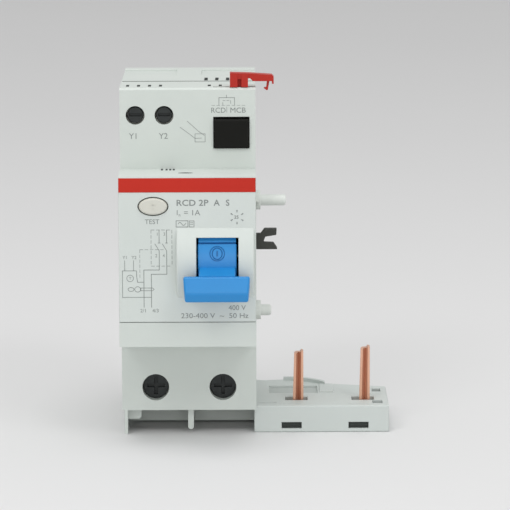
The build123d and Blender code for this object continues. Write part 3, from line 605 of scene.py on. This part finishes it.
spring("toggle_coil", "toggle_spring", (1, 0, 0), 2.2, 0.35, 3.4)
spring("fork_coil", "trip_spring", (1, 0, 0), 2.8, 0.35, 2.8)
button_coil = spring("button_coil", "test_spring", (0, 1, 0), 1.9, 0.25, 5.5)
key_coil = spring("key_coil", "lock_spring", (0, 1, 0), 2.45, 0.3, 6.0)
clip_coil = spring("clip_coil", "clip_spring", (0, 0, 1), 0.7, 0.17, 11.0)
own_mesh(button_coil)
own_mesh(key_coil)
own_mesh(clip_coil)

# Test button: a cream oval cap with a slightly domed face and a raised T, on a stem with a flange
# behind the plate. A dark gap shows all round it.
button = merged("test_button")
TEST_X, TEST_Z = -8.64, 14.6


def button_rim(a, b, edge):
    """Front rim of the oval cap."""
    return edge.is_convex and all(abs(p.y + 60.7) < 0.02 for p in (a, b))


soften(button, 0.5, button_rim, segments=4)
brick(button, (TEST_X - 0.75, TEST_X + 0.75), (-60.78, -60.66), (TEST_Z + 0.37, TEST_Z + 0.63))
brick(button, (TEST_X - 0.13, TEST_X + 0.13), (-60.78, -60.66), (TEST_Z - 0.74, TEST_Z + 0.5))
cream = surface("cream", tone(206, 206, 196), tone(199, 199, 189), rough=(0.36, 0.46), depth=0.003)
paint(cream, piece("test_cap", button, "test_button", ["test_button"]))

# Test contact, remote contacts: thin phosphor-bronze leaves, bent and riveted behind the parts
# that press on them.
bronze = surface("bronze", tone(214, 178, 112), tone(184, 146, 84), rough=(0.25, 0.38), metal=1.0,
                 cloud=300.0, grain=9000.0, depth=0.003, stretch=(1, 1, 5))
paint(bronze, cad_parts["test_contact"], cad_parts["remote_contacts"])

# Lock key: a square push key in the upper shoulder, moulded in matt black with rounded front edges.
# It slides in its hole against a spring.
key = merged("lock_key")
soften(key, 0.16, lambda a, b, edge: edge.is_convex and max(a.y, b.y) < -42.5, segments=3)
key_black = surface("key_black", tone(22, 22, 19), tone(14, 14, 12), rough=(0.5, 0.6), grain=6000.0,
                    shine=0.12)
paint(key_black, piece("lock_key_cap", key, "lock_key", ["lock_key"]))

# Coupling slider: a red acetal moulding with a hooked arm over the breaker's side. It runs in the
# guide slot of the top face.
slider = merged("coupling_slider")
soften(slider, 0.14, convex(), least=40)
slider_red = surface("slider_red", tone(178, 42, 30), tone(166, 36, 26), rough=(0.36, 0.48), shine=0.2)
paint(slider_red, piece("slider_moulding", slider, "coupling_slider", ["coupling_slider"]))

# Coupling pins: light grey moulded spigots with collars, which locate the breaker. They are pressed
# into bosses on the case's right side.
pin_grey = surface("pin_grey", tone(220, 224, 219), tone(211, 216, 212), rough=(0.45, 0.58))
for name in ("upper", "lower"):
    pin = merged(f"coupling_pin_{name}")
    soften(pin, 0.12, lambda a, b, edge: edge.is_convex and min(a.x, b.x) > 18, least=60)
    paint(pin_grey, piece(f"{name}_spigot", pin, "case", [f"coupling_pin_{name}"]))

# Trip fork: a dark grey glass-filled lever on a steel shaft, whose two prongs take the breaker's
# trip bar. The other levers, shafts and pins of the mechanism are steel and black moulded parts.
fork_grey = surface("fork_grey", tone(56, 57, 52), tone(44, 45, 41), rough=(0.5, 0.68), grain=3000.0,
                    depth=0.008)
fork = merged("trip_lever")
soften(fork, 0.16, lambda a, b, edge: edge.is_convex and min(a.x, b.x) > 13, least=25)
paint(fork_grey, piece("trip_fork", fork, "trip_lever", ["trip_lever"]))
latch = merged("latch_lever")
soften(latch, 0.14, convex(), least=40)
paint(fork_grey, piece("latch_arm", latch, "latch_lever", ["latch_lever"]))
for name in ("toggle_pin", "trip_shaft", "latch_pin", "spring_post"):
    pin = merged(name)
    soften(pin, 0.15, convex(), least=60)
    paint(zinc, piece(f"{name}_turned", pin, "case", [name]))

# Trip relay: a sealed black moulded can on the board. Its plunger is plated steel with a turned,
# round head.
relay_black = surface("relay_black", tone(44, 46, 48), tone(36, 37, 39), rough=(0.4, 0.55))
relay = merged("relay_body")
soften(relay, 0.4, convex(5), segments=3)
paint(relay_black, piece("relay_can", relay, "case", ["relay_body"]))
plunger = merged("relay_plunger")
soften(plunger, 0.15, convex(), least=60)
paint(zinc, piece("relay_rod", plunger, "relay_plunger", ["relay_plunger"]))

# Terminal screws: dark phosphated steel with a deep cross recess and a rolled thread, their colour
# darkened further as painted shade for the deep terminal holes. Each draws a zinc-plated cage up against
# the terminal plate and clamps the cable between them.
screw_steel_and_hole_shade = surface("screw_steel_and_hole_shade", tone(44, 48, 47), tone(24, 28, 29), rough=(0.36, 0.54), metal=0.4,
                     cloud=500.0, grain=8000.0, depth=0.004)
cage_zinc = surface("cage_zinc", tone(190, 190, 180), tone(150, 152, 148), rough=(0.3, 0.48), metal=1.0,
                    cloud=260.0, grain=7000.0, depth=0.005)
copper = surface("copper", tone(236, 190, 164), tone(192, 142, 116), rough=(0.34, 0.5), metal=0.6,
                 cloud=160.0, grain=7000.0, depth=0.006, stretch=(2, 2, 0.4))


def thread(bm, x, z, span, radius, pitch):
    """Rolled thread ridge round a screw's shank between the pair span of y."""
    turns = (span[1] - span[0] - 0.3) / pitch
    ridge = bmesh.new()
    coil(ridge, (x, span[0] + 0.05, z), (0, 1, 0), pitch * turns + 0.2, radius, 0.1, turns, steps=18, sides=4)
    outward(ridge)
    join(bm, ridge)


for side, x in (("left", -POLE_X), ("right", POLE_X)):
    screw = merged(f"terminal_screw_{side}")
    soften(screw, 0.2, lambda a, b, edge: edge.is_convex and max(a.y, b.y) < -40.5, segments=3, least=50)
    thread(screw, x, TERMINAL_Z, (-39.9, -36.7), 2.3, 0.8)
    paint(screw_steel_and_hole_shade, piece(f"{side}_terminal_screw", screw, f"screw_{side}", [f"terminal_screw_{side}"]))
    cage = merged(f"lift_cage_{side}")
    soften(cage, 0.3, convex(5), segments=3)
    paint(cage_zinc, piece(f"{side}_cage", cage, f"cage_{side}", [f"lift_cage_{side}"]))
    plate = merged(f"terminal_plate_{side}")
    soften(plate, 0.15, convex())
    paint(copper, piece(f"{side}_terminal_plate", plate, "case", [f"terminal_plate_{side}"]))
    lead = merged(f"lead_{side}")
    soften(lead, 0.4, convex(2), segments=3)
    paint(copper, piece(f"{side}_lead", lead, "case", [f"lead_{side}"]))

# Remote-trip terminals: two small slotted screws of dark phosphated steel, darkened further as painted
# shade for their holes. Each draws up a clamp pressed from zinc-plated steel.
for index, x in enumerate(REMOTE_X, start=1):
    screw = merged(f"remote_screw_{index}")
    soften(screw, 0.22, lambda a, b, edge: edge.is_convex and max(a.y, b.y) < -42, segments=3, least=50)
    thread(screw, x, REMOTE_Z, (-41.3, -36.1), 1.4, 0.5)
    paint(screw_steel_and_hole_shade, piece(f"remote_screw_{index}_turned", screw, f"remote_screw_{index}",
                            [f"remote_screw_{index}"]))
    clamp = merged(f"remote_clamp_{index}")
    soften(clamp, 0.15, convex(3))
    paint(cage_zinc, piece(f"remote_clamp_{index}_pressed", clamp, f"remote_clamp_{index}",
                           [f"remote_clamp_{index}"]))

# Sensing ring: a tape-wound core inside one even layer of enamelled copper wire, with the two
# leads of the circuit passing through its middle.
core_tape = surface("core_tape", tone(92, 94, 98), tone(70, 72, 76), rough=(0.35, 0.5), metal=0.6,
                    cloud=200.0, grain=6000.0, stretch=(1, 1, 8))
paint(core_tape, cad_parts["ring_core"])
RING_Y = -14.5
RING_R = (7.4, 11.9)
RING_Z = (-19.9, -8.1)
WIRE_R = 0.3
TURNS = 66
winding = bmesh.new()
inner, outer = RING_R[0] + WIRE_R, RING_R[1] - WIRE_R
low, high = RING_Z[0] + WIRE_R, RING_Z[1] - WIRE_R
corner = 0.7
loop = [(outer, low + corner), (outer, high - corner), (outer - corner, high), (inner + corner, high),
        (inner, high - corner), (inner, low + corner), (inner + corner, low), (outer - corner, low)]
wire(winding, [(r, RING_Y, z) for r, z in loop], WIRE_R, sides=6, closed=True)
outward(winding)
bmesh.ops.spin(winding, geom=winding.faces[:] + winding.edges[:] + winding.verts[:], cent=(0, RING_Y, 0),
               axis=(0, 0, 1), dvec=(0, 0, 0), angle=2 * math.pi * (TURNS - 1) / TURNS, steps=TURNS - 1,
               use_duplicate=True)
enamel = surface("enamel", tone(176, 92, 48), tone(140, 66, 34), rough=(0.18, 0.3), metal=0.6,
                 cloud=600.0, grain=5000.0)
paint(enamel, piece("ring_turns", winding, "case", ["ring_winding"], smooth=60))

# Circuit board: a green glass-epoxy sheet with its tracks and solder joints, on two moulded posts.
# It carries the smoothing capacitor, the test resistor and the blue disc varistor.
BOARD_Y = -6.5
board = merged("circuit_board")
soften(board, 0.1, convex(5))
board_green = surface("board_green", tone(34, 112, 66), tone(24, 92, 54), rough=(0.25, 0.4), cloud=300.0)
paint(board_green, piece("board_sheet", board, "case", ["circuit_board"]))
tracks = bmesh.new()
for index in range(5):
    x = -12.5 + index * 1.3
    stroke(tracks, [(x, 15.0), (x, 24.0 + index), (x + 4.0, 28.0 + index)], 0.35, BOARD_Y)
    stroke(tracks, [(3.0 + index * 1.1, -1.0), (3.0 + index * 1.1, 4.0), (6.0 + index, 18.0)], 0.35, BOARD_Y)
track_green = surface("track_green", tone(58, 142, 84), tone(48, 126, 74), rough=(0.25, 0.4), cloud=300.0)
paint(track_green, piece("board_tracks", tracks, "case"))
pads = bmesh.new()
for x, z in ((6.0, 24.0), (10.0, 24.0), (8.0, 4.6), (8.0, 16.4), (-8.5, 22.0), (-3.5, 22.0), (-13, 17),
             (0.5, 30)):
    made = bmesh.ops.create_uvsphere(pads, u_segments=12, v_segments=6, radius=0.7)["verts"]
    bmesh.ops.scale(pads, vec=(1, 0.5, 1), verts=made)
    bmesh.ops.translate(pads, vec=(x, BOARD_Y, z), verts=made)
solder = surface("solder", tone(206, 208, 208), tone(182, 184, 186), rough=(0.22, 0.36), metal=1.0)
paint(solder, piece("board_joints", pads, "case", smooth=60))
legs = bmesh.new()
wire(legs, [(8.0, BOARD_Y, 4.6), (8.0, -8.3, 4.6), (8.0, -8.3, 6.1)], 0.3)
wire(legs, [(8.0, BOARD_Y, 16.4), (8.0, -8.3, 16.4), (8.0, -8.3, 14.9)], 0.3)
outward(legs)
paint(solder, piece("resistor_legs", legs, "case", smooth=60))
post_beige = surface("post_beige", tone(214, 208, 190), tone(204, 198, 180))
paint(post_beige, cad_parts["board_posts"])
can = merged("capacitor")
soften(can, 0.5, convex(), segments=3, least=60)
can_sleeve = surface("can_sleeve", tone(38, 48, 92), tone(30, 38, 78), rough=(0.25, 0.35))
paint(can_sleeve, piece("capacitor_can", can, "case", ["capacitor"]))
resistor = merged("test_resistor")
soften(resistor, 0.5, convex(), segments=3, least=60)
resistor_tan = surface("resistor_tan", tone(206, 182, 140), tone(196, 170, 128), rough=(0.35, 0.5))
paint(resistor_tan, piece("resistor_body", resistor, "case", ["test_resistor"]))
bands = bmesh.new()
for z in (7.9, 9.6, 11.0, 13.1):
    made = bmesh.ops.create_cone(bands, cap_ends=True, segments=32, radius1=1.63, radius2=1.63,
                                 depth=0.5)["verts"]
    bmesh.ops.translate(bands, vec=(8.0, BOARD_Y - 1.8, z), verts=made)
band_brown = surface("band_brown", tone(110, 52, 30), tone(96, 44, 26), rough=(0.35, 0.5))
paint(band_brown, piece("resistor_bands", bands, "case", smooth=60))
disc = merged("varistor")
soften(disc, 0.9, convex(), segments=4, least=60)
varistor_blue = surface("varistor_blue", tone(40, 84, 168), tone(34, 72, 148), rough=(0.2, 0.3))
paint(varistor_blue, piece("varistor_disc", disc, "case", ["varistor"]))

# Phase barrier: the insulating sheet between the two cable entries. It is moulded in the case's grey
# plastic, with a beaded lower edge.
barrier = merged("phase_barrier")
soften(barrier, 0.2, convex(3))
paint(case_grey, piece("barrier_sheet", barrier, "case", ["phase_barrier"]))

# Foot: a shallow grey moulded box under the breaker, closed by a snap-in floor whose tongues fill the
# front windows. Dark linings of painted shade stand in the slots of its top, two of which let the
# copper stubs through.
foot_grey = surface("foot_grey", tone(200, 206, 203), tone(193, 200, 197), rough=(0.45, 0.58))
foot = merged("foot_cover")
soften(foot, 0.3, long_outer("foot_cover", 5.0))
soften(foot, 0.12, lambda a, b, edge: edge.is_convex and min(a.z, b.z) > -41.2 and (a - b).length > 1.5)
paint(foot_grey, piece("foot_shell", foot, "case", ["foot_cover"]))
FOOT_TOP = -41.05
STUB_X = (28.5, 46.0)
gaps = bmesh.new()
for x in STUB_X:
    brick(gaps, (x - 3.3, x - 1.75), (-34.5, -30.3), (FOOT_TOP - 1.7, FOOT_TOP - 1.1))
    brick(gaps, (x + 1.7, x + 2.4), (-34.5, -30.3), (FOOT_TOP - 1.7, FOOT_TOP - 1.1))
brick(gaps, (48.1, 50.5), (-38.7, -35.0), (FOOT_TOP - 1.25, FOOT_TOP - 0.95))
brick(gaps, (48.4, 50.5), (-23.9, -20.1), (FOOT_TOP - 1.25, FOOT_TOP - 0.95))
brick(gaps, (18.3, 22.7), (-38.35, -37.85), (FOOT_TOP - 0.85, FOOT_TOP - 0.25))
paint(gap_shade_and_joint, piece("foot_gaps", gaps, "case"))
# A darker grey plate in the shallow recess of the foot's top is painted shade for the recess floor.
panel = bmesh.new()
brick(panel, (21.0, 33.7), (-25.4, -16.0), (FOOT_TOP - 0.65, FOOT_TOP - 0.55))
matt_recess_shade = surface("matt_recess_shade", tone(184, 190, 187), tone(178, 184, 181), rough=(0.6, 0.72), shine=0.3)
paint(matt_recess_shade, piece("foot_recess_shade", panel, "case"))
floor_part = merged("foot_base")
soften(floor_part, 0.15, convex(2))
tongue_grey = surface("tongue_grey", tone(58, 62, 60), tone(47, 51, 49), rough=(0.55, 0.7), shine=0.2)
paint(tongue_grey, piece("foot_floor", floor_part, "case", ["foot_base"]))

# Copper stubs: drawn copper bar with a groove down the front, sheared at the top and left bare. They
# stand up through the foot into the breaker's lower terminals.
for side in ("left", "right"):
    stub = merged(f"copper_stub_{side}")
    low, high = (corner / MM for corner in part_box(f"copper_stub_{side}"))
    middle = (low.x + high.x) / 2
    for vert in stub.verts:
        if vert.co.z > -43:
            rise = (vert.co.z + 43) / (high.z + 43)
            vert.co.x = middle + (vert.co.x - middle) * (1.0 - 0.16 * rise) + 0.2 * rise
    soften(stub, 0.12, lambda a, b, edge: edge.is_convex and max(a.z, b.z) > -42)
    paint(copper, piece(f"{side}_stub", stub, "case", [f"copper_stub_{side}"]))

# Rail clip: a black moulded acetal slide behind the case. Its spring pushes it upward, so that its
# nose hooks the rail.
clip = merged("rail_clip")
soften(clip, 0.25, convex(2))
clip_black = surface("clip_black", tone(40, 40, 38), tone(32, 32, 30), rough=(0.45, 0.6))
paint(clip_black, piece("clip_slide", clip, "rail_clip", ["rail_clip"]))

# Stage: a plain pale floor with soft studio light from above, the front and both sides. The camera
# looks a little down at the front of the nose.
floor_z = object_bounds()[0][2]
floor_bm = bmesh.new()
bmesh.ops.create_grid(floor_bm, x_segments=1, y_segments=1, size=4.0)
bmesh.ops.translate(floor_bm, vec=(0, 0, floor_z), verts=floor_bm.verts)
floor_mesh = bpy.data.meshes.new("floor")
floor_bm.to_mesh(floor_mesh)
floor_bm.free()
floor = bpy.data.objects.new("floor", floor_mesh)
bpy.context.scene.collection.objects.link(floor)
floor_white = surface("floor_white", tone(222, 222, 222), tone(218, 218, 218), rough=(0.7, 0.8), cloud=3.0,
                      grain=60.0)
paint(floor_white, floor)

world = bpy.data.worlds.new("studio")
world.use_nodes = True
sky = world.node_tree.nodes["Background"]
sky.inputs["Color"].default_value = (1, 1, 1, 1)
sky.inputs["Strength"].default_value = 0.66
bpy.context.scene.world = world
bpy.context.scene.view_settings.view_transform = "Standard"


def lamp(name, place, size, power):
    """Soft square lamp that faces the middle of the object."""
    light = bpy.data.lights.new(name, "AREA")
    light.size = size
    light.energy = power
    obj = bpy.data.objects.new(name, light)
    aim = Vector((0.01, -0.03, 0.0)) - Vector(place)
    turn = aim.to_track_quat("-Z", "Y").to_matrix().to_4x4()
    obj.matrix_world = Matrix.Translation(Vector(place)) @ turn
    bpy.context.scene.collection.objects.link(obj)


lamp("left_key", (-0.42, -0.66, 0.7), 0.35, 1.6)
lamp("right_key", (0.46, -0.66, 0.7), 0.35, 1.6)
lamp("top_lamp", (0.0, -0.15, 1.0), 0.5, 2.8)
lamp("front_lamp", (0.0, -1.0, 0.02), 0.5, 1.7)

YAW, PITCH, ROLL = (math.radians(angle) for angle in (0.138, 9.596, -0.201))
DISTANCE = 877.1
AIM = Vector((17.196, -60.0, 2.018))
forward = Vector((math.sin(YAW) * math.cos(PITCH), math.cos(YAW) * math.cos(PITCH), -math.sin(PITCH)))
level = Vector((math.cos(YAW), -math.sin(YAW), 0))
upward = level.cross(forward)
across = math.cos(ROLL) * level + math.sin(ROLL) * upward
upright = math.cos(ROLL) * upward - math.sin(ROLL) * level
lens = bpy.data.cameras.new("camera")
lens.lens = 243.56
lens.sensor_width = 36.0
lens.clip_start = 0.05
camera = bpy.data.objects.new("camera", lens)
stance = Matrix((across, upright, -forward)).transposed().to_4x4()
camera.matrix_world = Matrix.Translation((AIM - forward * DISTANCE) * MM) @ stance
bpy.context.scene.collection.objects.link(camera)
bpy.context.scene.camera = camera
